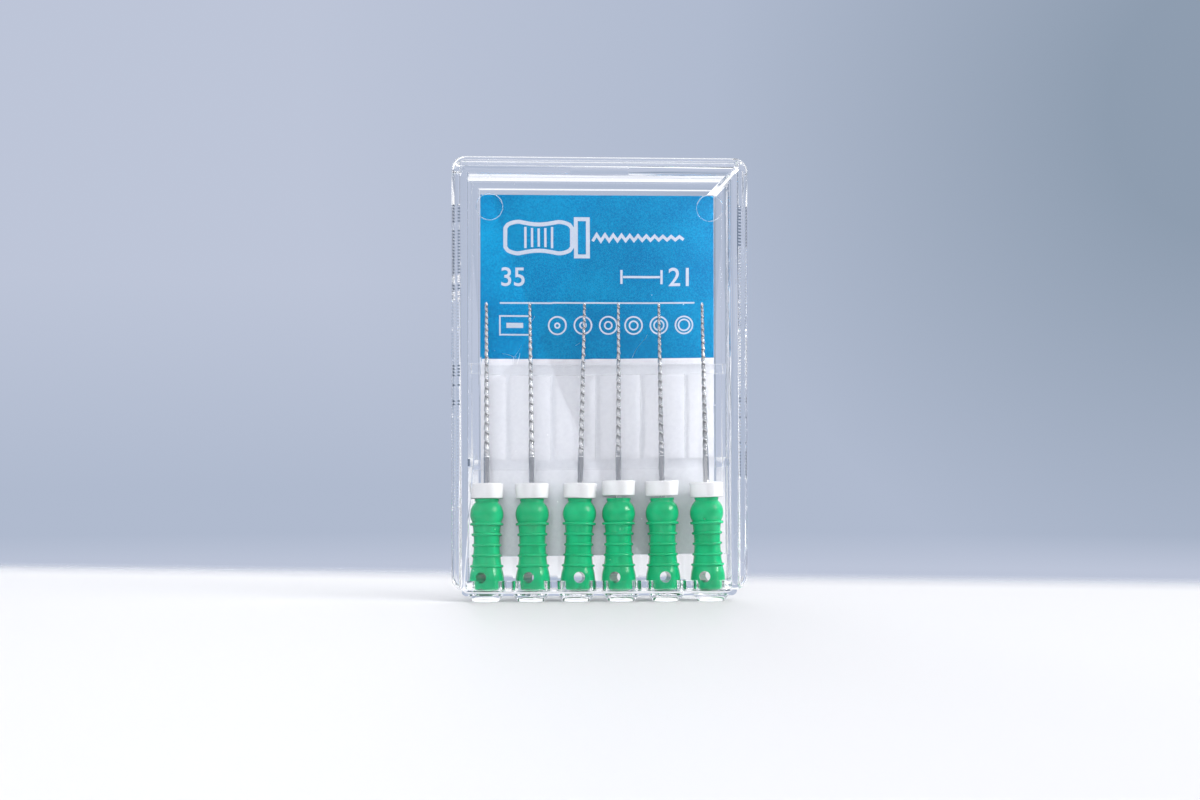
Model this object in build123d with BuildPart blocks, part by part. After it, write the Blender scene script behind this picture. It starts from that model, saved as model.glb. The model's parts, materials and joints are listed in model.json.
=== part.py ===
from build123d import *
import os
from math import cos, radians, sin

os.makedirs("parts", exist_ok=True)

# A slim clear case holds six endodontic hand files, handles down. It stands on the round feet
# under its file pockets. A tray carries everything and a cover hinges on the tray's top bar.
# Millimetres. X runs across, -Y is the front, +Z is up. The origin is on the floor, midway.

# ---- File: size 35, 2 % taper, 21 mm working length ----
working_length = 21.0
tip_diameter = 0.35
taper = 0.02
fluted_length = 16.5
shank_radius = 0.35
shank_end_cone = 0.4
tip_cone = 0.25
shank_fit = 0.01

# ---- Handle: a waisted grip with round rings and a cross hole near its lower end ----
handle_length = 10.0
handle_radius = 1.85
foot_edge = 0.4
foot_set_in = 0.07
lower_bulge_top = 2.5
lower_bulge_widest = 1.45
waist_radius = 1.40
waist_foot_radius = 1.66
waist_head_radius = 1.55
head_start = 7.5
head_radius = 1.78
head_middle = 8.6
neck_height = 9.65
neck_radius = 1.20
lip_radius = 1.30
lip_height = 0.22
ring_count = 5
ring_start = 2.81
ring_pitch = 1.12
ring_radius = 1.575
ring_end_rise = 0.215
ring_bead = 0.16
hole_height = 1.54
hole_radius = 0.6
hole_to_shaft = 0.5

# ---- Silicone stop: a disc that grips the shaft above the handle ----
stop_radius = 1.80
stop_taper = 0.05
stop_height = 1.6
stop_edge = 0.12
stop_bore_clearance = 0.03
stop_seat_gap = 0.02

# ---- How the six files stand in their slots ----
# Each has a sideways shift from its slot's middle, a lean to the right in degrees, the turn of
# its cross hole in degrees and the height of its stop above the handle.
file_layout = [
    (0.125, 0.0, -21.0, 0.0),
    (0.175, -0.6, -17.0, 0.0),
    (0.275, 1.4, 3.0, 0.0),
    (-0.275, -0.1, -17.0, 0.25),
    (-0.375, -1.0, 3.0, 0.2),
    (-0.425, -1.3, -17.0, 0.0),
]
file_count = len(file_layout)

# ---- Case: walls, gaps and heights ----
case_height = 47.3
slot_room = 1.15
side_room = 0.025
tray_wall = 0.7
tray_floor = 0.85
tray_corner = 0.6
wall_gap = 0.1
cover_wall = 0.9
cover_front = 1.0
cover_corner = 1.4
cover_edge = 0.5
cover_bottom = 1.4
spacer_thickness = 0.5
card_thickness = 0.25
stop_room = 0.2

# ---- Pockets, feet and cradle at the lower end ----
foot_height = 0.75
foot_width = 3.9
foot_depth = 4.6
foot_taper = 36.0
foot_round = 0.15
foot_corner = 1.911
pocket_bottom = 1.15
pocket_top = 2.4
pocket_room = 0.1
pocket_side_room = 0.35
pocket_wall = 0.55
handle_seat_gap = 0.05
cradle_top = 5.0
cradle_front = 1.2
trough_room = 0.55
trough_forward = 0.2

# ---- Hinge: the tray's top bar with a pin at each end, in blind holes in the cover's ears ----
barrel_radius = 0.9
barrel_gap = 0.1
pin_radius = 0.45
pin_length = 0.4
pin_clearance = 0.04
pin_end_gap = 0.05
catch_notch_width = 6.2
catch_notch_depth = 1.0

# ---- Card, its rim on the tray floor, and the spacer that holds it down ----
card_width = 25.3
card_height = 38.8
card_gap = 0.1
rim_gap = 0.15
rim_width = 0.75
rim_top_gap = 0.6
spacer_gap = 0.05
bar_height = 1.05
lower_bar = 14.4
upper_bar = 24.55
spacer_rib = 0.5
nib_depth = 0.3
nib_reach = 0.25
nib_gap = 0.05
nib_height = 0.8
detent_radius = 0.45
detent_height = 0.06
detent_heights = [34.2, 36.5]
ejector_radius = 1.4
ejector_depth = 0.06
ejector_inset = 4.0
ejector_drop = 5.3

# ---- Places worked out from the sizes above ----
slot_pitch = 2 * handle_radius + slot_room
slots = [slot_pitch * (i - (file_count - 1) / 2) for i in range(file_count)]
inner_half = slots[-1] + handle_radius + side_room
tray_half = inner_half + tray_wall
cover_inner_half = tray_half + wall_gap
cover_half = cover_inner_half + cover_wall
tray_face = -(handle_radius + pocket_room + pocket_wall)
cover_inner_face = tray_face - wall_gap
cover_face = cover_inner_face - cover_front
spacer_face = stop_radius + stop_room
card_face = spacer_face + spacer_thickness
floor_face = card_face + card_thickness
tray_back = floor_face + tray_floor
hinge_y = tray_back - barrel_radius
hinge_z = case_height - barrel_radius
top_wall_inside = case_height - cover_wall
tray_top = top_wall_inside - wall_gap
tray_top_inside = tray_top - tray_wall
handle_bottom = pocket_bottom + handle_seat_gap
trough_radius = handle_radius + trough_room
shaft_foot = hole_height + hole_radius + hole_to_shaft
tip_height = handle_length + working_length
card_bottom = cradle_top + card_gap


def file_plane(slot, shift, lean):
    """The plane across the lower end of a leaning file. Its Z axis runs up the file."""
    up = Vector(sin(radians(lean)), 0, cos(radians(lean)))
    across = Vector(cos(radians(lean)), 0, -sin(radians(lean)))
    middle = Vector(slot + shift, 0, handle_bottom + handle_length / 2)
    return Plane(origin=middle - up * (handle_length / 2), x_dir=across, z_dir=up)


def outline_plane(base):
    """The plane through a file's axis: X is the radius and Y the height along the file."""
    return Plane(origin=base.origin, x_dir=base.x_dir, z_dir=-base.y_dir)


def ring_outline(number):
    """Where one grip ring sits: the rings stand out most at both ends of the waist."""
    from_middle = 2 * number / (ring_count - 1) - 1
    crest = ring_radius + ring_end_rise * from_middle**2
    return (crest - ring_bead, ring_start + number * ring_pitch)


def make_handle(base, turn):
    """The moulded grip, bored for the shaft and pierced by the cross hole."""
    axis = Axis(base.origin, base.z_dir)
    lower_edge = handle_radius - foot_set_in
    with BuildPart() as handle:
        with BuildSketch(outline_plane(base)):
            with BuildLine():
                Line((0, 0), (lower_edge - foot_edge, 0))
                RadiusArc((lower_edge - foot_edge, 0), (lower_edge, foot_edge), -foot_edge)
                ThreePointArc(
                    (lower_edge, foot_edge),
                    (handle_radius, lower_bulge_widest),
                    (waist_foot_radius, lower_bulge_top),
                )
                ThreePointArc(
                    (waist_foot_radius, lower_bulge_top),
                    (waist_radius, (lower_bulge_top + head_start) / 2),
                    (waist_head_radius, head_start),
                )
                ThreePointArc(
                    (waist_head_radius, head_start),
                    (head_radius, head_middle),
                    (neck_radius, neck_height),
                )
                Line((neck_radius, neck_height), (lip_radius, handle_length - lip_height))
                Line((lip_radius, handle_length - lip_height), (lip_radius, handle_length))
                Line((lip_radius, handle_length), (0, handle_length))
                Line((0, handle_length), (0, 0))
            make_face()
            with Locations([ring_outline(number) for number in range(ring_count)]):
                Circle(ring_bead)
        revolve(axis=axis)
        with BuildSketch(base.offset(handle_length)):
            Circle(shank_radius + shank_fit)
        extrude(amount=shaft_foot - shank_fit - handle_length, mode=Mode.SUBTRACT)
        turned = base.rotated((0, 0, turn))
        hole_middle = base.origin + base.z_dir * hole_height
        with BuildSketch(Plane(origin=hole_middle, x_dir=turned.x_dir, z_dir=turned.y_dir)):
            Circle(hole_radius)
        extrude(amount=2 * handle_radius, both=True, mode=Mode.SUBTRACT)
    return handle


def make_shaft(base):
    """The steel wire: a plain shank in the handle, then the envelope of the cutting spiral."""
    tip_radius = tip_diameter / 2
    spiral_foot = tip_height - fluted_length
    spiral_foot_radius = tip_radius + taper / 2 * fluted_length
    with BuildPart() as shaft:
        with BuildSketch(outline_plane(base)):
            with BuildLine():
                Polyline(
                    (0, shaft_foot),
                    (shank_radius, shaft_foot),
                    (shank_radius, spiral_foot - shank_end_cone),
                    (spiral_foot_radius, spiral_foot),
                    (tip_radius, tip_height - tip_cone),
                    (0, tip_height),
                    close=True,
                )
            make_face()
        revolve(axis=Axis(base.origin, base.z_dir))
    return shaft


def make_stop(base, lift):
    """The silicone disc, a little wider at its top, with a bore that slides on the shank."""
    bore = shank_radius + stop_bore_clearance
    bottom = handle_length + stop_seat_gap + lift
    top = bottom + stop_height
    with BuildPart() as stop:
        with BuildSketch(outline_plane(base)) as half:
            with BuildLine():
                Polyline(
                    (bore, bottom),
                    (stop_radius - stop_taper, bottom),
                    (stop_radius, top),
                    (bore, top),
                    close=True,
                )
            make_face()
            fillet(half.vertices().group_by(Axis.X)[1:], stop_edge)
        revolve(axis=Axis(base.origin, base.z_dir))
    return stop


# ---- Tray: floor, side and top walls, pockets with feet, cradle, card rim and hinge bar ----
with BuildPart() as tray:
    with BuildSketch(Plane.XZ.offset(-tray_back)) as front_outline:
        with Locations((0, foot_height)):
            Rectangle(2 * tray_half, tray_top - foot_height, align=(Align.CENTER, Align.MIN))
        fillet(front_outline.vertices().group_by(Axis.Y)[0], tray_corner)
        fillet(front_outline.vertices().group_by(Axis.Y)[-1], cover_corner - cover_wall - wall_gap)
    extrude(amount=tray_back - tray_face)
    with BuildSketch(Plane.XZ.offset(-floor_face)):
        with Locations((0, pocket_top)):
            Rectangle(
                2 * inner_half, tray_top_inside - pocket_top, align=(Align.CENTER, Align.MIN)
            )
    extrude(amount=floor_face - tray_face, mode=Mode.SUBTRACT)
    with Locations((0, tray_face, (tray_top + tray_top_inside) / 2)):
        Box(catch_notch_width, 2 * catch_notch_depth, tray_wall, mode=Mode.SUBTRACT)

    # The hinge bar runs the full width, with a pin beyond each side wall.
    with BuildSketch(Plane.YZ.offset(-tray_half)):
        with Locations((hinge_y, hinge_z)):
            Circle(barrel_radius)
    extrude(amount=2 * tray_half)
    with BuildSketch(Plane.YZ.offset(-tray_half - pin_length)):
        with Locations((hinge_y, hinge_z)):
            Circle(pin_radius)
    extrude(amount=2 * (tray_half + pin_length))

    # One foot under each pocket, drawn in towards the floor.
    with BuildSketch(Plane.XY.offset(foot_height)):
        with GridLocations(slot_pitch, 0, file_count, 1):
            RectangleRounded(foot_width, foot_depth, foot_corner)
    extrude(amount=-foot_height, taper=foot_taper)
    fillet(tray.edges().group_by(Axis.Z)[0], foot_round)
    with BuildSketch(Plane.XY.offset(pocket_bottom)):
        with GridLocations(slot_pitch, 0, file_count, 1):
            RectangleRounded(
                2 * (handle_radius + pocket_side_room),
                2 * (handle_radius + pocket_room),
                handle_radius,
            )
    extrude(amount=pocket_top - pocket_bottom, mode=Mode.SUBTRACT)

    # The cradle's round troughs keep the handles apart.
    with BuildSketch(Plane.XY.offset(pocket_top)):
        with Locations((0, cradle_front)):
            Rectangle(2 * inner_half, floor_face - cradle_front, align=(Align.CENTER, Align.MIN))
        with Locations([(slot, -trough_forward) for slot in slots]):
            Circle(trough_radius, mode=Mode.SUBTRACT)
    extrude(amount=cradle_top - pocket_top)

    # A low rim frames the card, and nibs on the side walls hold the spacer's bars down.
    rim_middle = card_width / 2 + rim_gap + rim_width / 2
    rim_top = card_bottom + card_height + rim_top_gap + rim_width
    with BuildSketch(Plane.XZ.offset(-floor_face)):
        with Locations((-rim_middle, cradle_top), (rim_middle, cradle_top)):
            Rectangle(rim_width, rim_top - cradle_top, align=(Align.CENTER, Align.MIN))
        with Locations((0, rim_top)):
            Rectangle(2 * rim_middle, rim_width, align=(Align.CENTER, Align.MAX))
    extrude(amount=card_thickness)
    with BuildSketch(Plane.XZ.offset(-(spacer_face - nib_gap))):
        for bar in (lower_bar, upper_bar):
            with Locations((-inner_half, bar + bar_height / 2), (inner_half, bar + bar_height / 2)):
                Rectangle(2 * nib_reach, nib_height)
    extrude(amount=nib_depth)

    # Small round detents rub on the cover's sides.
    with BuildSketch(Plane.YZ.offset(-tray_half - detent_height)):
        with Locations([(0, height) for height in detent_heights]):
            Circle(detent_radius)
    extrude(amount=detent_height)
    with BuildSketch(Plane.YZ.offset(tray_half)):
        with Locations([(0, height) for height in detent_heights]):
            Circle(detent_radius)
    extrude(amount=detent_height)
tray.part.label = "tray"
export_step(tray.part, "parts/tray.step")

# ---- Cover: front panel, side walls and short top wall, open at the back and below ----
with BuildPart() as cover:
    with BuildSketch(Plane.XZ.offset(-tray_back)):
        with Locations((0, cover_bottom)):
            RectangleRounded(
                2 * cover_half,
                case_height - cover_bottom,
                cover_corner,
                align=(Align.CENTER, Align.MIN),
            )
    extrude(amount=tray_back - cover_face)
    fillet(cover.faces().sort_by(Axis.Y)[0].edges(), cover_edge)
    with BuildSketch(Plane.XZ.offset(-tray_back)) as hollow:
        with Locations((0, top_wall_inside)):
            Rectangle(2 * cover_inner_half, case_height, align=(Align.CENTER, Align.MAX))
        fillet(hollow.vertices().group_by(Axis.Y)[-1], cover_corner - cover_wall)
    extrude(amount=tray_back - cover_inner_face, mode=Mode.SUBTRACT)

    # The top wall stops short of the hinge bar, which the ears' round corners follow.
    top_wall_back = hinge_y - barrel_radius - barrel_gap
    with Locations((0, top_wall_back, hinge_z)):
        Box(
            2 * cover_inner_half,
            case_height,
            case_height,
            align=(Align.CENTER, Align.MIN, Align.CENTER),
            mode=Mode.SUBTRACT,
        )
    with BuildSketch(Plane.YZ) as ear_corner:
        with Locations((hinge_y, hinge_z)):
            Rectangle(2 * barrel_radius, 2 * barrel_radius, align=(Align.MIN, Align.MIN))
            Circle(barrel_radius, mode=Mode.SUBTRACT)
    extrude(amount=cover_half, both=True, mode=Mode.SUBTRACT)
    with BuildSketch(Plane.YZ):
        with Locations((hinge_y, hinge_z)):
            Circle(pin_radius + pin_clearance)
    extrude(amount=tray_half + pin_length + pin_end_gap, both=True, mode=Mode.SUBTRACT)

    # Two ejector marks are sunk into the inner face near the upper corners.
    ejector_x = cover_half - ejector_inset
    with BuildSketch(Plane.XZ.offset(-cover_inner_face)):
        with Locations(
            (-ejector_x, case_height - ejector_drop), (ejector_x, case_height - ejector_drop)
        ):
            Circle(ejector_radius)
    extrude(amount=ejector_depth, mode=Mode.SUBTRACT)
cover.part.label = "cover"
export_step(cover.part, "parts/cover.step")

# ---- Label card, flat on the tray floor inside the rim ----
with BuildPart() as label_card:
    with BuildSketch(Plane.XZ.offset(-floor_face)):
        with Locations((0, card_bottom)):
            Rectangle(card_width, card_height, align=(Align.CENTER, Align.MIN))
    extrude(amount=card_thickness)
label_card.part.label = "label_card"
export_step(label_card.part, "parts/label_card.step")

# ---- Spacer: a clear ladder of two bars and a rib between each two slots ----
with BuildPart() as spacer_frame:
    spacer_half = inner_half - spacer_gap
    rib_height = upper_bar - lower_bar
    with BuildSketch(Plane.XZ.offset(-card_face)):
        for bar in (lower_bar, upper_bar):
            with Locations((0, bar)):
                Rectangle(2 * spacer_half, bar_height, align=(Align.CENTER, Align.MIN))
        with Locations([(slot + slot_pitch / 2, lower_bar) for slot in slots[:-1]]):
            Rectangle(spacer_rib, rib_height, align=(Align.CENTER, Align.MIN))
    extrude(amount=spacer_thickness)
    # A heel at each end of the bars stands on the tray floor, outside the rim.
    heel_inside = card_width / 2 + rim_gap + rim_width + spacer_gap
    with BuildSketch(Plane.XZ.offset(-floor_face)):
        for bar in (lower_bar, upper_bar):
            for side in (-1, 1):
                with Locations((side * (heel_inside + spacer_half) / 2, bar)):
                    Rectangle(
                        spacer_half - heel_inside, bar_height, align=(Align.CENTER, Align.MIN)
                    )
    extrude(amount=card_thickness)
spacer_frame.part.label = "spacer_frame"
export_step(spacer_frame.part, "parts/spacer_frame.step")

# ---- Six files, each a handle, a shaft and a stop ----
for number, (slot, layout) in enumerate(zip(slots, file_layout), start=1):
    shift, lean, turn, lift = layout
    base = file_plane(slot, shift, lean)

    file_handle = make_handle(base, turn)
    file_handle.part.label = f"file_handle_{number}"
    export_step(file_handle.part, f"parts/file_handle_{number}.step")

    file_shaft = make_shaft(base)
    file_shaft.part.label = f"file_shaft_{number}"
    export_step(file_shaft.part, f"parts/file_shaft_{number}.step")

    stop = make_stop(base, lift)
    stop.part.label = f"stop_{number}"
    export_step(stop.part, f"parts/stop_{number}.step")
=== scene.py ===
import json
import math

import bmesh
import bpy
from mathutils import Matrix, Vector


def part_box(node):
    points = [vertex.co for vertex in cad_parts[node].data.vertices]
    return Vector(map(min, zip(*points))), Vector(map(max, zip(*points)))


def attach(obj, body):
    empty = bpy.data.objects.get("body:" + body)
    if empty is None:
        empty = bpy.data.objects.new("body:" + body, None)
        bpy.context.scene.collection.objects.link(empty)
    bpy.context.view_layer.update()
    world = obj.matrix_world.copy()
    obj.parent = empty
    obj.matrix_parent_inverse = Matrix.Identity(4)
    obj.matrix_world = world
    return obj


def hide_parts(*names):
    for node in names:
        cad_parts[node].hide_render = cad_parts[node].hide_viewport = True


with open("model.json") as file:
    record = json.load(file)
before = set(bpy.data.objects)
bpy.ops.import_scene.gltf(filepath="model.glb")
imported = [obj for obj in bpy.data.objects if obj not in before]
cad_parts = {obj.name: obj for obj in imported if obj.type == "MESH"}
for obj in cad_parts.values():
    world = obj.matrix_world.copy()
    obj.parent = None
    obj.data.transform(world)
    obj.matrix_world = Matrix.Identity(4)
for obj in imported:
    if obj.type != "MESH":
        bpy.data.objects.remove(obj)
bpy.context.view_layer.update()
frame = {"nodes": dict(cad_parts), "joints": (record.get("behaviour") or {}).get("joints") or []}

# A clear hinged case of six root canal files. Lengths are in metres; MM is one millimetre.
MM = 0.001
# The gap that keeps two faces from falling together.
AIR = 0.02 * MM
cad = frame["nodes"]
joints = {joint["name"]: joint for joint in frame["joints"]}
file_numbers = range(1, 1 + sum(name.startswith("file_turn_") for name in joints))


# ---- Small helpers for meshes ----

def new_piece(name, mesh):
    """An object of that mesh at the origin, with its place in the mesh."""
    piece = bpy.data.objects.new(name, mesh)
    bpy.context.scene.collection.objects.link(piece)
    return piece


def freeze(piece):
    """Turns a piece and its modifiers into a plain mesh."""
    bpy.context.view_layer.update()
    evaluated = piece.evaluated_get(bpy.context.evaluated_depsgraph_get())
    mesh = bpy.data.meshes.new_from_object(evaluated)
    piece.modifiers.clear()
    piece.data = mesh
    return piece


def smooth(piece, sharp_degrees=32.0):
    """Smooth faces, with an edge left sharp where two faces meet at more than that angle."""
    piece.data.shade_smooth()
    piece.data.set_sharp_from_angle(angle=math.radians(sharp_degrees))
    return piece


def drop(piece):
    """Removes a helper object that has done its work."""
    bpy.data.objects.remove(piece)


def merged_copy(node, name):
    """A copy of a CAD piece whose triangles share their corners and whose flat faces are whole."""
    mesh = cad[node].data.copy()
    mesh.name = name
    shell = bmesh.new()
    shell.from_mesh(mesh)
    bmesh.ops.remove_doubles(shell, verts=shell.verts, dist=1e-7)
    bmesh.ops.dissolve_limit(
        shell, angle_limit=math.radians(0.3), verts=shell.verts, edges=shell.edges
    )
    shell.to_mesh(mesh)
    shell.free()
    return new_piece(name, mesh)


def round_long_edges(piece, radius, shortest):
    """Gives the long moulded edges a small round; short and curved edges stay as they are."""
    shell = bmesh.new()
    shell.from_mesh(piece.data)
    weight = shell.edges.layers.float.new("bevel_weight_edge")
    for edge in shell.edges:
        if len(edge.link_faces) == 2 and edge.calc_length() > shortest:
            edge[weight] = float(edge.calc_face_angle() > math.radians(50))
    shell.to_mesh(piece.data)
    shell.free()
    bevel = piece.modifiers.new("moulded round", "BEVEL")
    bevel.limit_method = "WEIGHT"
    bevel.width = radius
    bevel.segments = 3
    bevel.use_clamp_overlap = False
    return freeze(piece)


def set_depth(piece, front, back):
    """Sets a flat piece's front and back faces apart from what they rest on."""
    depths = [vertex.co.y for vertex in piece.data.vertices]
    low, high = min(depths), max(depths)
    for vertex in piece.data.vertices:
        vertex.co.y = front + (vertex.co.y - low) * (back - front) / (high - low)
    return piece


def finish_piece(piece, body, slot, material, *replaced):
    """Gives a piece its material and its body, and hides the CAD nodes it stands for; the slot it
    is given is not used.
    """
    piece.data.materials.clear()
    piece.data.materials.append(material)
    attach(piece, body)
    if replaced:
        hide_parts(*replaced)
    return piece


def file_place(number):
    """Where a file stands: a matrix from the file's own axis and foot into the frame."""
    joint = joints[f"file_turn_{number}"]
    up = Vector(joint["axis"]).normalized()
    middle = Vector(joint["pos_m"])
    across = Vector((up.z, 0.0, -up.x))
    turn = Matrix((across, up.cross(across), up)).transposed().to_4x4()
    return Matrix.Translation(middle) @ turn


# ---- Small helpers for node trees ----

def add(tree, kind, inputs=(), **settings):
    """A node with its settings and its inputs, each a plain value or another node's output."""
    node = tree.nodes.new(kind)
    for key, value in settings.items():
        setattr(node, key, value)
    for key, value in dict(inputs).items():
        if isinstance(value, bpy.types.NodeSocket):
            tree.links.new(value, node.inputs[key])
        else:
            node.inputs[key].default_value = value
    return node


def calc(tree, operation, first, second=0.0, third=0.0):
    """One step of arithmetic. Returns its output."""
    inputs = {0: first, 1: second, 2: third}
    return add(tree, "ShaderNodeMath", inputs, operation=operation).outputs[0]


def ramp(tree, value, low, high, bottom=0.0, top=1.0):
    """A value carried from one range to another and held inside it."""
    inputs = {0: value, 1: low, 2: high, 3: bottom, 4: top}
    return add(tree, "ShaderNodeMapRange", inputs).outputs[0]


def blend_colours(tree, factor, first, second):
    """Two colours mixed by a factor."""
    inputs = {0: factor, 6: first, 7: second}
    return add(tree, "ShaderNodeMix", inputs, data_type="RGBA").outputs[2]


def effect(name, inputs, outputs):
    """An empty shader node group with those named inputs and outputs."""
    tree = bpy.data.node_groups.new(name, "ShaderNodeTree")
    for label, value in inputs.items():
        socket = tree.interface.new_socket(label, in_out="INPUT", socket_type="NodeSocketFloat")
        socket.default_value = value
    for label in outputs:
        tree.interface.new_socket(label, in_out="OUTPUT", socket_type="NodeSocketFloat")
    return tree, tree.nodes.new("NodeGroupInput"), tree.nodes.new("NodeGroupOutput")


def use_effect(tree, group, **values):
    """One use of a shader node group, with its own values."""
    node = tree.nodes.new("ShaderNodeGroup")
    node.node_tree = group
    for label, value in values.items():
        node.inputs[label.replace("_", " ")].default_value = value
    return node


def new_material(name, **plain):
    """A material of one Principled surface, with values that are the same all over it."""
    material = bpy.data.materials.new(name)
    material.use_nodes = True
    tree = material.node_tree
    tree.nodes.clear()
    surface = tree.nodes.new("ShaderNodeBsdfPrincipled")
    for label, value in plain.items():
        surface.inputs[label.replace("_", " ")].default_value = value
    output = tree.nodes.new("ShaderNodeOutputMaterial")
    tree.links.new(surface.outputs[0], output.inputs[0])
    return material, tree, surface, output


def feed(tree, surface, colour, rough, bump=None):
    """Feeds a surface its colour and roughness and, where there is a bump, its normal."""
    tree.links.new(colour, surface.inputs["Base Color"])
    tree.links.new(rough, surface.inputs["Roughness"])
    if bump is not None:
        tree.links.new(bump.outputs[0], surface.inputs["Normal"])


# ---- Effects that several materials use ----

def make_ripple():
    """The slow waves of a moulded surface, as a height."""
    tree, given, result = effect("Moulding ripple", {"Scale": 300.0}, ["Height"])
    place = tree.nodes.new("ShaderNodeTexCoord")
    waves = add(
        tree,
        "ShaderNodeTexNoise",
        {"Vector": place.outputs["Object"], "Scale": given.outputs["Scale"], "Detail": 1.5},
    )
    tree.links.new(waves.outputs["Fac"], result.inputs["Height"])
    return tree


def make_hairlines():
    """Fine handling scratches, as a mask: pieces of a thin crossing network, here and there."""
    tree, given, result = effect(
        "Hairline scratches", {"Scale": 130.0, "Width": 0.003, "Share": 0.5}, ["Mask"]
    )
    place = tree.nodes.new("ShaderNodeTexCoord")
    bend = add(tree, "ShaderNodeTexNoise", {"Vector": place.outputs["Object"], "Scale": 90.0})
    shifted = add(
        tree,
        "ShaderNodeVectorMath",
        {0: bend.outputs["Color"], 1: (0.006, 0.006, 0.006), 2: place.outputs["Object"]},
        operation="MULTIPLY_ADD",
    )
    lines = add(
        tree,
        "ShaderNodeTexVoronoi",
        {"Vector": shifted.outputs[0], "Scale": given.outputs["Scale"]},
        feature="DISTANCE_TO_EDGE",
    )
    thin = calc(tree, "LESS_THAN", lines.outputs["Distance"], given.outputs["Width"])
    patches = add(
        tree, "ShaderNodeTexNoise", {"Vector": place.outputs["Object"], "Scale": 210.0}
    )
    shown = calc(tree, "GREATER_THAN", patches.outputs["Fac"], given.outputs["Share"])
    tree.links.new(calc(tree, "MULTIPLY", thin, shown), result.inputs["Mask"])
    return tree


def make_dust():
    """Sparse bright specks of dust, as a mask."""
    tree, given, result = effect(
        "Dust specks", {"Scale": 900.0, "Size": 0.06, "Share": 0.9}, ["Mask"]
    )
    place = tree.nodes.new("ShaderNodeTexCoord")
    cells = add(
        tree,
        "ShaderNodeTexVoronoi",
        {"Vector": place.outputs["Object"], "Scale": given.outputs["Scale"]},
    )
    near = calc(tree, "LESS_THAN", cells.outputs["Distance"], given.outputs["Size"])
    chance = add(tree, "ShaderNodeSeparateColor", {0: cells.outputs["Color"]})
    chosen = calc(tree, "GREATER_THAN", chance.outputs[0], given.outputs["Share"])
    tree.links.new(calc(tree, "MULTIPLY", near, chosen), result.inputs["Mask"])
    return tree


def make_grain():
    """Fine even grain, as a value about a half."""
    tree, given, result = effect("Fine grain", {"Scale": 5000.0, "Contrast": 1.0}, ["Value"])
    place = tree.nodes.new("ShaderNodeTexCoord")
    noise = add(
        tree,
        "ShaderNodeTexNoise",
        {"Vector": place.outputs["Object"], "Scale": given.outputs["Scale"], "Detail": 3.0},
    )
    centred = calc(tree, "SUBTRACT", noise.outputs["Fac"], 0.5)
    scaled = calc(tree, "MULTIPLY_ADD", centred, given.outputs["Contrast"], 0.5)
    tree.links.new(scaled, result.inputs["Value"])
    return tree


ripple = make_ripple()
hairlines = make_hairlines()
dust = make_dust()
grain = make_grain()


# ---- Materials ----

def clear_plastic(name, ripple_scale, ripple_height, scratch_share, dust_share, haze):
    """Clear polystyrene: sharp refraction, slow moulding waves, hairlines and dust.

    Seen straight from the camera, a share of the surface refracts and mirrors nothing, which
    takes a veil of reflections off the case. Shadow rays pass, so that lamps light the inside.
    """
    ior, clear_tint, shadow_tint = 1.57, (0.99, 0.995, 1.0, 1.0), (0.985, 0.99, 0.995, 1.0)
    mark_roughness, mark_height, unmirrored_share = 0.45, 0.05, 0.6
    material, tree, surface, output = new_material(
        name,
        Base_Color=clear_tint,
        IOR=ior,
        Specular_Tint=(0.24, 0.24, 0.24, 1.0),
        Transmission_Weight=1.0,
    )
    waves = use_effect(tree, ripple, Scale=ripple_scale)
    lines = use_effect(tree, hairlines, Share=scratch_share)
    specks = use_effect(tree, dust, Share=dust_share)
    marks = calc(tree, "MAXIMUM", lines.outputs["Mask"], specks.outputs["Mask"])
    rough = calc(tree, "MULTIPLY_ADD", marks, mark_roughness, haze)
    height = calc(tree, "MULTIPLY_ADD", marks, mark_height, waves.outputs["Height"])
    bump = add(
        tree,
        "ShaderNodeBump",
        {"Height": height, "Distance": ripple_height, "Strength": 1.0},
    )
    tree.links.new(rough, surface.inputs["Roughness"])
    tree.links.new(bump.outputs[0], surface.inputs["Normal"])
    path = tree.nodes.new("ShaderNodeLightPath")
    bare = add(
        tree,
        "ShaderNodeBsdfRefraction",
        {"Color": clear_tint, "Roughness": rough, "IOR": ior, "Normal": bump.outputs[0]},
    )
    share = calc(tree, "MULTIPLY", path.outputs["Is Camera Ray"], unmirrored_share)
    unveiled = add(
        tree,
        "ShaderNodeMixShader",
        {0: share, 1: surface.outputs[0], 2: bare.outputs[0]},
    )
    passing = add(tree, "ShaderNodeBsdfTransparent", {0: shadow_tint})
    mix = add(
        tree,
        "ShaderNodeMixShader",
        {0: path.outputs["Is Shadow Ray"], 1: unveiled.outputs[0], 2: passing.outputs[0]},
    )
    tree.links.new(mix.outputs[0], output.inputs[0])
    return material


def green_grip():
    """Bright green moulded nylon with a soft gloss and faint flow marks."""
    material, tree, surface, _ = new_material("Green grip", Specular_IOR_Level=0.35, IOR=1.5)
    flow = use_effect(tree, grain, Scale=420.0, Contrast=1.4)
    speck = use_effect(tree, grain, Scale=9000.0, Contrast=1.2)
    shade = calc(tree, "MULTIPLY_ADD", speck.outputs[0], 0.35, flow.outputs[0])
    factor = ramp(tree, shade, 0.35, 1.05)
    colour = blend_colours(tree, factor, (0.002, 0.305, 0.112, 1.0), (0.006, 0.43, 0.18, 1.0))
    rough = ramp(tree, flow.outputs[0], 0.2, 0.8, 0.13, 0.19)
    skin = use_effect(tree, grain, Scale=3200.0, Contrast=1.0)
    bump = add(tree, "ShaderNodeBump", {"Height": skin.outputs[0], "Distance": 0.006 * MM})
    feed(tree, surface, colour, rough, bump)
    return material


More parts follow.
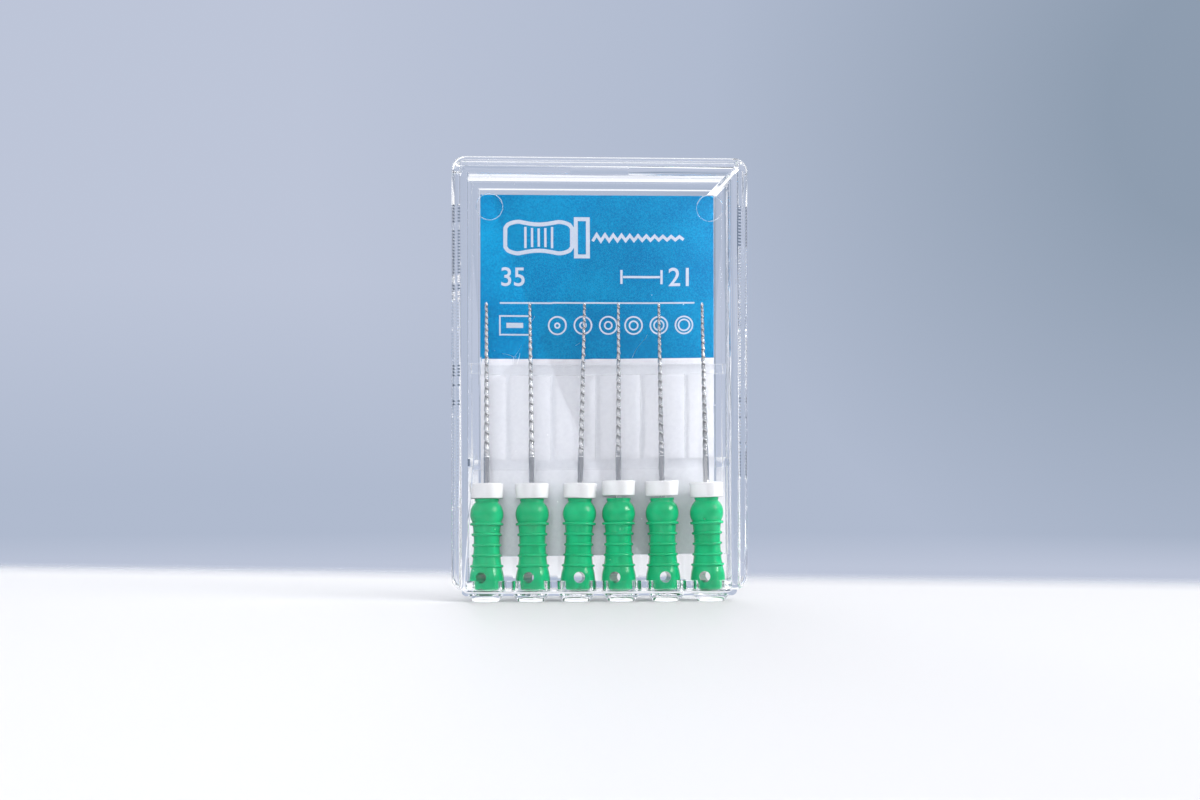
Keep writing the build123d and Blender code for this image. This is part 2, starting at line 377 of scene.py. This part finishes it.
def ground_steel():
    """Stainless wire: a drawn shank and bright ground flutes, with painted shade that darkens the
    colour down in the grooves.
    """
    material, tree, surface, _ = new_material("Ground steel", Metallic=1.0)
    place = tree.nodes.new("ShaderNodeTexCoord")
    drawn = add(
        tree,
        "ShaderNodeMapping",
        {"Vector": place.outputs["Object"], "Scale": (1.0, 1.0, 0.03)},
    )
    lines = add(tree, "ShaderNodeTexNoise", {"Vector": drawn.outputs[0], "Scale": 26000.0})
    groove = add(tree, "ShaderNodeAttribute", attribute_name="groove")
    lit = blend_colours(
        tree, lines.outputs["Fac"], (0.66, 0.66, 0.68, 1.0), (0.94, 0.94, 0.94, 1.0)
    )
    # Painted shade: the colour goes to a dark grey with the depth of the groove, where the spiral's
    # hollows fall into shade.
    colour = blend_colours(tree, groove.outputs["Fac"], lit, (0.13, 0.13, 0.14, 1.0))
    rough = ramp(tree, lines.outputs["Fac"], 0.3, 0.7, 0.10, 0.22)
    bump = add(tree, "ShaderNodeBump", {"Height": lines.outputs["Fac"], "Distance": 0.003 * MM})
    feed(tree, surface, colour, rough, bump)
    return material


def white_silicone():
    """Soft white silicone rubber with a faint bloom."""
    material, tree, surface, _ = new_material("White silicone", IOR=1.42)
    bloom = use_effect(tree, grain, Scale=900.0, Contrast=1.2)
    colour = blend_colours(
        tree, bloom.outputs[0], (0.65, 0.64, 0.66, 1.0), (0.73, 0.72, 0.73, 1.0)
    )
    rough = ramp(tree, bloom.outputs[0], 0.2, 0.8, 0.42, 0.6)
    skin = use_effect(tree, grain, Scale=6000.0, Contrast=1.0)
    bump = add(tree, "ShaderNodeBump", {"Height": skin.outputs[0], "Distance": 0.004 * MM})
    feed(tree, surface, colour, rough, bump)
    return material


def printed_card(print_foot, card_front):
    """White card, printed cyan blue above print_foot on its front face only."""
    material, tree, surface, _ = new_material("Printed card", Specular_IOR_Level=0.15)
    place = tree.nodes.new("ShaderNodeTexCoord")
    axes = add(tree, "ShaderNodeSeparateXYZ", {0: place.outputs["Object"]})
    above = calc(tree, "GREATER_THAN", axes.outputs["Z"], print_foot)
    on_front = calc(tree, "LESS_THAN", axes.outputs["Y"], card_front + AIR)
    printed = calc(tree, "MULTIPLY", above, on_front)
    dots = use_effect(tree, grain, Scale=6500.0, Contrast=3.4)
    cloud = use_effect(tree, grain, Scale=170.0, Contrast=1.5)
    tone = calc(tree, "MULTIPLY_ADD", dots.outputs[0], 0.6, cloud.outputs[0])
    blue = blend_colours(
        tree, ramp(tree, tone, 0.3, 1.3), (0.001, 0.152, 0.36, 1.0), (0.003, 0.275, 0.525, 1.0)
    )
    fibre = use_effect(tree, grain, Scale=2500.0, Contrast=1.6)
    stock = blend_colours(
        tree, fibre.outputs[0], (0.675, 0.675, 0.72, 1.0), (0.745, 0.745, 0.785, 1.0)
    )
    colour = blend_colours(tree, printed, stock, blue)
    rough = ramp(tree, printed, 0.0, 1.0, 0.7, 0.55)
    bump = add(tree, "ShaderNodeBump", {"Height": fibre.outputs[0], "Distance": 0.006 * MM})
    feed(tree, surface, colour, rough, bump)
    return material


def white_ink():
    """The card's white print, a little uneven like ink."""
    material, tree, surface, _ = new_material("White ink", Specular_IOR_Level=0.2)
    dots = use_effect(tree, grain, Scale=7000.0, Contrast=1.5)
    colour = blend_colours(
        tree, dots.outputs[0], (0.50, 0.575, 0.70, 1.0), (0.62, 0.67, 0.76, 1.0)
    )
    feed(tree, surface, colour, ramp(tree, dots.outputs[0], 0.2, 0.8, 0.4, 0.55))
    return material


cover_plastic = clear_plastic("Clear cover plastic", 240.0, 0.012 * MM, 0.68, 0.95, 0.0)
tray_plastic = clear_plastic("Clear tray plastic", 330.0, 0.01 * MM, 0.72, 0.96, 0.03)
spacer_plastic = clear_plastic("Clear spacer plastic", 420.0, 0.006 * MM, 0.78, 0.98, 0.2)
green = green_grip()
steel = ground_steel()
silicone = white_silicone()
ink = white_ink()


# ---- Geometry node trees ----

def geometry_tree(name, inputs):
    """An empty geometry tree with named inputs, each given as (kind, value)."""
    tree = bpy.data.node_groups.new(name, "GeometryNodeTree")
    tree.interface.new_socket("Geometry", in_out="OUTPUT", socket_type="NodeSocketGeometry")
    for label, (kind, value) in inputs.items():
        socket = tree.interface.new_socket(label, in_out="INPUT", socket_type="NodeSocket" + kind)
        if value is not None:
            socket.default_value = value
    return tree, tree.nodes.new("NodeGroupInput"), tree.nodes.new("NodeGroupOutput")


def grown(name, tree, values):
    """The plain mesh that a geometry tree makes from those values."""
    piece = new_piece(name, bpy.data.meshes.new(name))
    modifier = piece.modifiers.new("grow", "NODES")
    modifier.node_group = tree
    items = tree.interface.items_tree
    sockets = {item.name: item.identifier for item in items if item.in_out == "INPUT"}
    for label, value in values.items():
        modifier[sockets[label]] = value
    return freeze(piece)


def make_ridge_tree():
    """A row of equal small bars, one above the other: the cutter for the side serrations."""
    tree, given, result = geometry_tree(
        "Row of bars",
        {
            "Count": ("Int", 10),
            "Foot": ("Vector", (0.0, 0.0, 0.0)),
            "Pitch": ("Vector", (0.0, 0.0, MM)),
            "Bar": ("Vector", (MM, MM, MM)),
            "Finish": ("Material", None),
        },
    )
    row = add(
        tree,
        "GeometryNodeMeshLine",
        {"Count": given.outputs["Count"], "Start Location": given.outputs["Foot"],
         "Offset": given.outputs["Pitch"]},
    )
    bar = add(tree, "GeometryNodeMeshCube", {"Size": given.outputs["Bar"]})
    placed = add(
        tree,
        "GeometryNodeInstanceOnPoints",
        {"Points": row.outputs[0], "Instance": bar.outputs[0]},
    )
    real = add(tree, "GeometryNodeRealizeInstances", {0: placed.outputs[0]})
    coated = add(
        tree,
        "GeometryNodeSetMaterial",
        {"Geometry": real.outputs[0], "Material": given.outputs["Finish"]},
    )
    tree.links.new(coated.outputs[0], result.inputs[0])
    return tree


def make_flute_tree():
    """A root canal file's wire from its foot to its tip, with a ground spiral of sharp edges.

    The grid's X runs once round the wire and its Y runs down from the tip. The radius grows with
    the taper. Each turn of the spiral swells evenly towards the handle and then steps in, which
    leaves the edges that cut on the pull.
    """
    tree, given, result = geometry_tree(
        "Fluted wire",
        {
            "Length": ("Float", 28.0 * MM),
            "Fluted Length": ("Float", 16.5 * MM),
            "Tip Radius": ("Float", 0.175 * MM),
            "Shank Radius": ("Float", 0.35 * MM),
            "Taper": ("Float", 0.01),
            "Tip Cone": ("Float", 0.25 * MM),
            "First Pitch": ("Float", 0.6 * MM),
            "Pitch Growth": ("Float", 0.03),
            "Groove": ("Float", 0.4),
            "Rows": ("Int", 560),
            "Finish": ("Material", None),
        },
    )
    value = given.outputs
    around = 22
    grid = add(
        tree,
        "GeometryNodeMeshGrid",
        {"Size X": 1.0, "Size Y": 1.0, "Vertices X": around + 1, "Vertices Y": value["Rows"]},
    )
    position = tree.nodes.new("GeometryNodeInputPosition").outputs[0]
    spot = add(tree, "ShaderNodeSeparateXYZ", {0: position})
    turn = calc(tree, "ADD", spot.outputs["X"], 0.5)
    down = calc(tree, "SUBTRACT", 0.5, spot.outputs["Y"])
    from_tip = calc(tree, "MULTIPLY", down, value["Length"])

    body = calc(tree, "MULTIPLY_ADD", from_tip, value["Taper"], value["Tip Radius"])
    fluted = calc(tree, "LESS_THAN", from_tip, value["Fluted Length"])
    shank = calc(tree, "MULTIPLY", calc(tree, "SUBTRACT", 1.0, fluted), value["Shank Radius"])
    tapered = calc(tree, "MINIMUM", body, value["Shank Radius"])
    radius = calc(tree, "MULTIPLY_ADD", tapered, fluted, shank)
    cone = calc(tree, "DIVIDE", from_tip, value["Tip Cone"])
    radius = calc(tree, "MULTIPLY", radius, calc(tree, "MINIMUM", cone, 1.0))
    from_foot = calc(tree, "SUBTRACT", value["Length"], from_tip)
    radius = calc(tree, "MULTIPLY", radius, calc(tree, "GREATER_THAN", from_foot, 1e-6))

    # The turns counted from the tip: the pitch grows steadily, so their number is a logarithm.
    growth = calc(tree, "DIVIDE", value["Pitch Growth"], value["First Pitch"])
    stretched = calc(tree, "MULTIPLY_ADD", from_tip, growth, 1.0)
    turns = calc(tree, "DIVIDE", calc(tree, "LOGARITHM", stretched, math.e), value["Pitch Growth"])
    phase = calc(tree, "FRACT", calc(tree, "SUBTRACT", turns, turn))
    step, swell, run_out = 0.14, 1.25, 1.2 * MM
    falling = calc(tree, "POWER", calc(tree, "SUBTRACT", 1.0, phase), swell)
    rising = calc(tree, "DIVIDE", phase, step)
    depth = calc(tree, "MULTIPLY", falling, calc(tree, "MINIMUM", rising, 1.0))
    near_tip = ramp(tree, from_tip, 0.2 * MM, 0.7 * MM)
    to_shank = calc(tree, "SUBTRACT", value["Fluted Length"], from_tip)
    depth = calc(tree, "MULTIPLY", depth, near_tip)
    depth = calc(tree, "MULTIPLY", depth, ramp(tree, to_shank, 0.0, run_out))
    cut = calc(tree, "SUBTRACT", 1.0, calc(tree, "MULTIPLY", depth, value["Groove"]))
    radius = calc(tree, "MULTIPLY", radius, cut)

    angle = calc(tree, "MULTIPLY", turn, 2 * math.pi)
    point = add(
        tree,
        "ShaderNodeCombineXYZ",
        {
            0: calc(tree, "MULTIPLY", radius, calc(tree, "COSINE", angle)),
            1: calc(tree, "MULTIPLY", radius, calc(tree, "SINE", angle)),
            2: from_foot,
        },
    )
    # The groove depth is stored on the mesh; the steel material paints shade into the grooves from
    # it.
    marked = add(
        tree,
        "GeometryNodeStoreNamedAttribute",
        {"Geometry": grid.outputs[0], "Name": "groove", "Value": depth},
    )
    wrapped = add(
        tree,
        "GeometryNodeSetPosition",
        {"Geometry": marked.outputs[0], "Position": point.outputs[0]},
    )
    closed = add(
        tree,
        "GeometryNodeMergeByDistance",
        {"Geometry": wrapped.outputs[0], "Distance": 0.0008 * MM},
    )
    coated = add(
        tree,
        "GeometryNodeSetMaterial",
        {"Geometry": closed.outputs[0], "Material": value["Finish"]},
    )
    tree.links.new(coated.outputs[0], result.inputs[0])
    return tree


ridge_tree = make_ridge_tree()
flute_tree = make_flute_tree()


# ---- Clear case ----

cover_front_wall = 1.0 * MM


def make_cover():
    """The cover, with rounded long edges and fine serrations down its inner side faces."""
    shell = round_long_edges(merged_copy("cover", "cover_shell"), 0.22 * MM, 1.5 * MM)
    low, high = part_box("cover")
    wall, depth, pitch = 0.9 * MM, 0.26 * MM, 0.34 * MM
    foot, head = low.z + 4.4 * MM, high.z - 4.6 * MM
    near, far = low.y + cover_front_wall + 0.35 * MM, high.y - 0.5 * MM
    for side in (low.x + wall, high.x - wall):
        cutter = grown(
            "serration_cutter",
            ridge_tree,
            {
                "Count": int((head - foot) / pitch),
                "Foot": (side, (near + far) / 2, foot),
                "Pitch": (0.0, 0.0, pitch),
                "Bar": (2 * depth, far - near, 0.5 * pitch),
            },
        )
        carve = shell.modifiers.new("serrations", "BOOLEAN")
        carve.operation = "DIFFERENCE"
        carve.solver = "EXACT"
        carve.object = cutter
        freeze(shell)
        drop(cutter)
    finish_piece(smooth(shell), "cover", "clear_cover", cover_plastic, "cover")


def make_ejector_rings():
    """The round witness marks that the mould's ejector pins left inside the cover."""
    low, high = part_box("cover")
    inner_face = low.y + cover_front_wall
    inset, drop_from_top = 4.0 * MM, 5.3 * MM
    shell = bmesh.new()
    radius, bead, around, section = 1.4 * MM, 0.035 * MM, 48, 8
    for x in (low.x + inset, high.x - inset):
        rows = []
        for i in range(around):
            turn = 2 * math.pi * i / around
            row = []
            for j in range(section):
                tilt = 2 * math.pi * j / section
                reach = radius + bead * math.cos(tilt)
                point = (x + reach * math.cos(turn), inner_face + bead * math.sin(tilt),
                         high.z - drop_from_top + reach * math.sin(turn))
                row.append(shell.verts.new(point))
            rows.append(row)
        for i in range(around):
            for j in range(section):
                k, m = (i + 1) % around, (j + 1) % section
                shell.faces.new((rows[i][j], rows[k][j], rows[k][m], rows[i][m]))
    bmesh.ops.recalc_face_normals(shell, faces=shell.faces)
    mesh = bpy.data.meshes.new("ejector_rings")
    shell.to_mesh(mesh)
    shell.free()
    rings = smooth(new_piece("ejector_rings", mesh))
    finish_piece(rings, "cover", "clear_cover", cover_plastic)


def make_tray():
    """The tray, with rounded long edges."""
    shell = round_long_edges(merged_copy("tray", "tray_shell"), 0.1 * MM, 1.5 * MM)
    finish_piece(smooth(shell), "tray", "clear_tray", tray_plastic, "tray")


def make_spacer():
    """The ladder that holds the card down, with all its long edges rounded."""
    low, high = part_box("spacer_frame")
    ladder = set_depth(merged_copy("spacer_frame", "spacer_ladder"), low.y, high.y - AIR)
    shell = round_long_edges(ladder, 0.06 * MM, 0.2 * MM)
    finish_piece(smooth(shell), "tray", "clear_spacer", spacer_plastic, "spacer_frame")


# ---- Card and its generic print ----

def ink_plate(name, outlines, card_front):
    """Thin flat prints on the card's front, one for each closed outline of (x, z) points."""
    shell = bmesh.new()
    for number, outline in enumerate(outlines):
        thickness = (0.010 + 0.0003 * number) * MM
        front = [shell.verts.new((x, card_front - thickness, z)) for x, z in outline]
        back = [shell.verts.new((x, card_front - 0.001 * MM, z)) for x, z in outline]
        shell.faces.new(front)
        shell.faces.new(reversed(back))
        for i in range(len(outline)):
            j = (i + 1) % len(outline)
            shell.faces.new((front[i], back[i], back[j], front[j]))
    bmesh.ops.recalc_face_normals(shell, faces=shell.faces)
    mesh = bpy.data.meshes.new(name)
    shell.to_mesh(mesh)
    shell.free()
    finish_piece(new_piece(name, mesh), "tray", "printed_card", ink)


def stroke(points, width):
    """The outline of a line drawn through points with a pen of that width."""
    left, right = [], []
    for i, point in enumerate(points):
        here = Vector(point)
        before = Vector(points[max(i - 1, 0)])
        after = Vector(points[min(i + 1, len(points) - 1)])
        along = ((here - before).normalized() + (after - here).normalized()).normalized()
        across = Vector((-along.y, along.x))
        into = (after - here).normalized() if after != here else (here - before).normalized()
        reach = width / 2 / max(0.4, abs(across.dot(Vector((-into.y, into.x)))))
        left.append(tuple(here + across * reach))
        right.append(tuple(here - across * reach))
    return left + right[::-1]


def box_stroke(left, foot, width, height, pen):
    """A frame drawn with one pen line."""
    middle = left + width / 2
    right, head = left + width, foot + height
    corners = [(left, foot), (left, head), (right, head), (right, foot)]
    return stroke([(middle, foot)] + corners + [(middle, foot)], pen)


def round_stroke(x, z, radius, pen, points=32):
    """A circle drawn with one pen line."""
    turns = [2 * math.pi * i / points for i in range(points + 1)]
    return stroke([(x + radius * math.cos(a), z + radius * math.sin(a)) for a in turns], pen)


def pictogram(left, middle, pen):
    """A file lying on its side: a waisted grip with rings, a stop and a shaft with cut edges."""
    length, half = 7.2 * MM, 1.85 * MM

    def half_width(share):
        end = min(1.0, 5.0 * share, 5.0 * (1.0 - share))
        return half * (1.0 - 0.24 * math.sin(math.pi * share) ** 2) * (0.55 + 0.45 * math.sqrt(end))

    shares = [i / 28 for i in range(29)]
    top = [(left + length * share, middle + half_width(share)) for share in shares]
    foot = [(x, 2 * middle - z) for x, z in reversed(top)]
    drawn = [stroke(top[14:] + foot + top[:15], pen)]
    for share in (0.3, 0.4, 0.5, 0.6, 0.7):
        x, reach = left + length * share, half_width(share) - pen
        drawn.append(stroke([(x, middle - reach), (x, middle + reach)], 0.6 * pen))
    drawn.append(box_stroke(left + length + pen, middle - 2.0 * MM, 1.3 * MM, 4.0 * MM, pen))
    start = left + length + 1.3 * MM + 2.2 * pen
    reach, teeth = 9.9 * MM, 22
    edge = []
    for i in range(teeth + 1):
        lift = (0.36 - 0.2 * i / teeth) * MM * (1 if i % 2 else -1)
        edge.append((start + reach * i / teeth, middle + lift))
    drawn.append(stroke(edge, 0.75 * pen))
    return drawn


def number_print(name, text, height, left, foot, card_front):
    """A generic number standing on the card."""
    figure_height = 0.69  # of the letter size, for the plain font
    curve = bpy.data.curves.new(name, "FONT")
    curve.body = text
    curve.size = height / figure_height
    curve.extrude = 0.005 * MM
    curve.offset = 0.012 * height
    writing = new_piece(name, curve)
    bpy.context.view_layer.update()
    evaluated = writing.evaluated_get(bpy.context.evaluated_depsgraph_get())
    mesh = bpy.data.meshes.new_from_object(evaluated)
    drop(writing)
    upright = Matrix.Rotation(math.radians(90), 4, "X")
    mesh.transform(Matrix.Translation((left, card_front - 0.006 * MM, foot)) @ upright)
    finish_piece(new_piece(name, mesh), "tray", "printed_card", ink)


def make_card():
    """The card with its blue field, a drawing of a file, two numbers, a scale and plain marks."""
    low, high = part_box("label_card")
    front, back = low.y + AIR, high.y - AIR
    print_foot = high.z - 17.6 * MM
    stock = set_depth(merged_copy("label_card", "card_stock"), front, back)
    edge = stock.modifiers.new("cut edge", "BEVEL")
    edge.width = 0.03 * MM
    edge.segments = 2
    freeze(stock)
    paper = printed_card(print_foot, front)
    finish_piece(smooth(stock), "tray", "printed_card", paper, "label_card")
    left, right = low.x + 2.1 * MM, high.x - 2.1 * MM
    thick, thin = 0.42 * MM, 0.17 * MM
    ink_plate("print_file_drawing", pictogram(left + 0.6 * MM, high.z - 4.6 * MM, thick), front)
    figures, line_z = 1.95 * MM, high.z - 9.75 * MM
    number_print("print_number_35", "35", figures, left, line_z, front)
    number_print("print_number_21", "21", figures, right - 2.9 * MM, line_z, front)
    scale_z, ends = high.z - 8.8 * MM, (2.6 * MM, right - 3.6 * MM)
    scale = [stroke([(x, scale_z - 0.75 * MM), (x, scale_z + 0.75 * MM)], 1.4 * thin) for x in ends]
    scale.append(stroke([(ends[0] + thin, scale_z), (ends[1] - thin, scale_z)], 1.4 * thin))
    ink_plate("print_length_scale", scale, front)
    rule_z = high.z - 11.6 * MM
    ink_plate("print_rule", [stroke([(left, rule_z), (right, rule_z)], thin)], front)
    mark_z, mark_height, mark_width = high.z - 15.0 * MM, 2.0 * MM, 3.2 * MM
    frame_lines = [box_stroke(left, mark_z, mark_width, mark_height, thin)]
    bar = [(left + 0.7 * MM, mark_z + 1.0 * MM), (left + mark_width - 0.7 * MM, mark_z + 1.0 * MM)]
    frame_lines.append(stroke(bar, 0.55 * MM))
    ink_plate("print_frame_mark", frame_lines, front)
    sections = []
    for i in range(6):
        x, z = left + mark_width + 3.0 * MM + i * 2.75 * MM, mark_z + mark_height / 2
        sections.append(round_stroke(x, z, 0.93 * MM, thin))
        sections.append(round_stroke(x, z, (0.25 + 0.07 * i) * MM, thin))
    ink_plate("print_section_marks", sections, front)


# ---- Files ----

def make_handle(number):
    """A moulded grip."""
    node = f"file_handle_{number}"
    grip = smooth(merged_copy(node, f"grip_{number}"), 40.0)
    finish_piece(grip, f"file_{number}", "green_handle", green, node)


def make_gate_nub(number):
    """The small flattened nub that the mould's gate left between two rings of the grip."""
    shell = bmesh.new()
    bmesh.ops.create_icosphere(shell, subdivisions=3, radius=1.0)
    bmesh.ops.scale(shell, vec=(0.17 * MM, 0.08 * MM, 0.11 * MM), verts=shell.verts)
    for vertex in shell.verts:
        vertex.co.z += 0.15 * vertex.co.x
    mesh = bpy.data.meshes.new(f"gate_nub_{number}")
    shell.to_mesh(mesh)
    shell.free()
    spin = Matrix.Rotation(math.radians(20.0), 4, "Z")
    mesh.transform(file_place(number) @ spin @ Matrix.Translation((0.0, -1.44 * MM, -1.85 * MM)))
    nub = smooth(new_piece(mesh.name, mesh), 80.0)
    finish_piece(nub, f"file_{number}", "green_handle", green)


def make_shaft(number):
    """A steel wire with its ground spiral."""
    node = f"file_shaft_{number}"
    place = file_place(number)
    upright = place.inverted()
    heights = [(upright @ vertex.co).z for vertex in cad[node].data.vertices]
    foot, tip = min(heights), max(heights)
    wire = grown(
        f"wire_{number}",
        flute_tree,
        {"Length": tip - foot, "Rows": 760, "Finish": steel},
    )
    spin = Matrix.Rotation(math.radians(77.0 * number), 4, "Z")
    wire.data.transform(place @ Matrix.Translation((0.0, 0.0, foot)) @ spin)
    finish_piece(smooth(wire, 60.0), f"file_{number}", "steel_wire", steel, node)


def make_stop(number):
    """A silicone disc with softly rounded edges."""
    node = f"stop_{number}"
    disc = smooth(merged_copy(node, f"disc_{number}"), 40.0)
    finish_piece(disc, f"stop_{number}", "silicone_stop", silicone, node)


make_cover()
make_ejector_rings()
make_tray()
make_spacer()
make_card()
for number in file_numbers:
    make_handle(number)
    make_gate_nub(number)
    make_shaft(number)
    make_stop(number)


# ---- Stage: pale floor, soft lights and the camera ----

def make_floor():
    """A plain pale table whose far side fades softly into the backdrop."""
    material, tree, surface, output = new_material("Pale table", Roughness=0.5)
    place = tree.nodes.new("ShaderNodeTexCoord")
    axes = add(tree, "ShaderNodeSeparateXYZ", {0: place.outputs["Object"]})
    slant, fade_start, fade_end = 0.257, 0.026, 0.054
    away = calc(tree, "MULTIPLY_ADD", axes.outputs["X"], slant, axes.outputs["Y"])
    far = add(
        tree,
        "ShaderNodeMapRange",
        {0: away, 1: fade_start, 2: fade_end},
        interpolation_type="SMOOTHSTEP",
    )
    cloud = use_effect(tree, grain, Scale=6.0, Contrast=0.6)
    colour = blend_colours(
        tree, cloud.outputs[0], (0.59, 0.59, 0.60, 1.0), (0.64, 0.64, 0.645, 1.0)
    )
    tree.links.new(colour, surface.inputs["Base Color"])
    gone = tree.nodes.new("ShaderNodeBsdfTransparent")
    mix = add(
        tree,
        "ShaderNodeMixShader",
        {0: far.outputs[0], 1: surface.outputs[0], 2: gone.outputs[0]},
    )
    tree.links.new(mix.outputs[0], output.inputs[0])
    half = 3.0
    mesh = bpy.data.meshes.new("table")
    corners = [(-half, -half, 0.0), (half, -half, 0.0), (half, half, 0.0), (-half, half, 0.0)]
    mesh.from_pydata(corners, [], [(0, 1, 2, 3)])
    table = new_piece("table", mesh)
    table.data.materials.append(material)


def soft_light(name, place, width, height, power, colour, highlights=True, beam=180.0):
    """A rectangular soft box turned to the case.

    One without highlights only lifts the shadows. The beam is its spread in degrees: a narrow one
    lights the case and little of the table.
    """
    light = bpy.data.lights.new(name, "AREA")
    light.shape = "RECTANGLE"
    light.size, light.size_y = width, height
    light.energy = power
    light.color = colour
    light.spread = math.radians(beam)
    lamp = bpy.data.objects.new(name, light)
    bpy.context.scene.collection.objects.link(lamp)
    lamp.location = place
    aim = Vector((0.0, 0.0, 0.02)) - Vector(place)
    lamp.rotation_euler = aim.to_track_quat("-Z", "Y").to_euler()
    lamp.visible_glossy = highlights
    lamp.visible_transmission = highlights


def make_backdrop():
    """A soft grey-blue backdrop, darker at the upper right, and the room that the case mirrors.

    The room is dark to the sides, which draws the clear walls' edges, dim on the near side and
    bright overhead.
    """
    world = bpy.data.worlds.new("Studio")
    bpy.context.scene.world = world
    world.use_nodes = True
    tree = world.node_tree
    tree.nodes.clear()
    place = tree.nodes.new("ShaderNodeTexCoord").outputs["Generated"]
    axes = add(tree, "ShaderNodeSeparateXYZ", {0: place})
    darkest = (0.373, 0.911, 0.175)
    shade = add(
        tree, "ShaderNodeVectorMath", {0: place, 1: darkest}, operation="DISTANCE"
    ).outputs["Value"]
    near_shade = ramp(tree, shade, 0.067, 0.27)
    upper_left = calc(
        tree, "MULTIPLY", ramp(tree, shade, 0.27, 0.48), ramp(tree, axes.outputs["Z"], -0.02, 0.09)
    )
    glow = ramp(tree, axes.outputs["Z"], -0.044, -0.062)
    light_part = calc(tree, "MAXIMUM", upper_left, glow)
    grey = blend_colours(
        tree, near_shade, (0.272, 0.337, 0.434, 1.0), (0.434, 0.494, 0.624, 1.0)
    )
    grey = blend_colours(tree, light_part, grey, (0.51, 0.56, 0.69, 1.0))
    sideways = ramp(tree, calc(tree, "ABSOLUTE", axes.outputs["X"]), 0.6, 0.85)
    grey = blend_colours(tree, sideways, grey, (0.17, 0.215, 0.30, 1.0))
    near_side = ramp(tree, axes.outputs["Y"], -0.1, -0.45)
    colour = blend_colours(tree, near_side, grey, (0.29, 0.305, 0.345, 1.0))
    ceiling = ramp(tree, axes.outputs["Z"], 0.245, 0.34)
    colour = blend_colours(tree, ceiling, colour, (1.08, 1.09, 1.14, 1.0))
    light = add(tree, "ShaderNodeBackground", {"Color": colour, "Strength": 1.0})
    output = tree.nodes.new("ShaderNodeOutputWorld")
    tree.links.new(light.outputs[0], output.inputs[0])


def make_camera():
    """Level with the handles, a little to the left, at close range."""
    distance, height, yaw = 200.0 * MM, 16.25 * MM, math.radians(3.0)
    camera = bpy.data.cameras.new("camera")
    camera.lens = 55.7
    camera.sensor_width = 36.0
    camera.shift_x = 0.0013
    camera.shift_y = 0.0417
    camera.clip_start = 0.005
    eye = bpy.data.objects.new("camera", camera)
    bpy.context.scene.collection.objects.link(eye)
    eye.location = (-distance * math.sin(yaw), -distance * math.cos(yaw), height)
    eye.rotation_euler = (math.radians(90), 0.0, -yaw)
    bpy.context.scene.camera = eye


make_floor()
make_backdrop()
soft_light("key", (0.46, -0.18, 0.33), 0.22, 0.22, 2.0, (1.0, 0.985, 0.96))
soft_light("left fill", (-0.36, -0.40, 0.30), 0.35, 0.25, 0.15, (0.96, 0.98, 1.0), False)
soft_light("front fill", (-0.03, -0.45, 0.07), 0.36, 0.12, 0.17, (0.97, 0.985, 1.0), False, 40.0)
soft_light("back fill", (-0.10, 0.50, 0.12), 0.30, 0.16, 0.10, (0.97, 0.985, 1.0), False, 40.0)
soft_light("overhead", (0.0, 0.02, 0.50), 0.34, 0.24, 0.15, (0.97, 0.985, 1.0))
make_camera()
bpy.context.scene.view_settings.view_transform = "Standard"
# Light runs along inside the clear walls for many turns before it comes out.
bpy.context.scene.cycles.max_bounces = 40
bpy.context.scene.cycles.glossy_bounces = 32
bpy.context.scene.cycles.transmission_bounces = 40
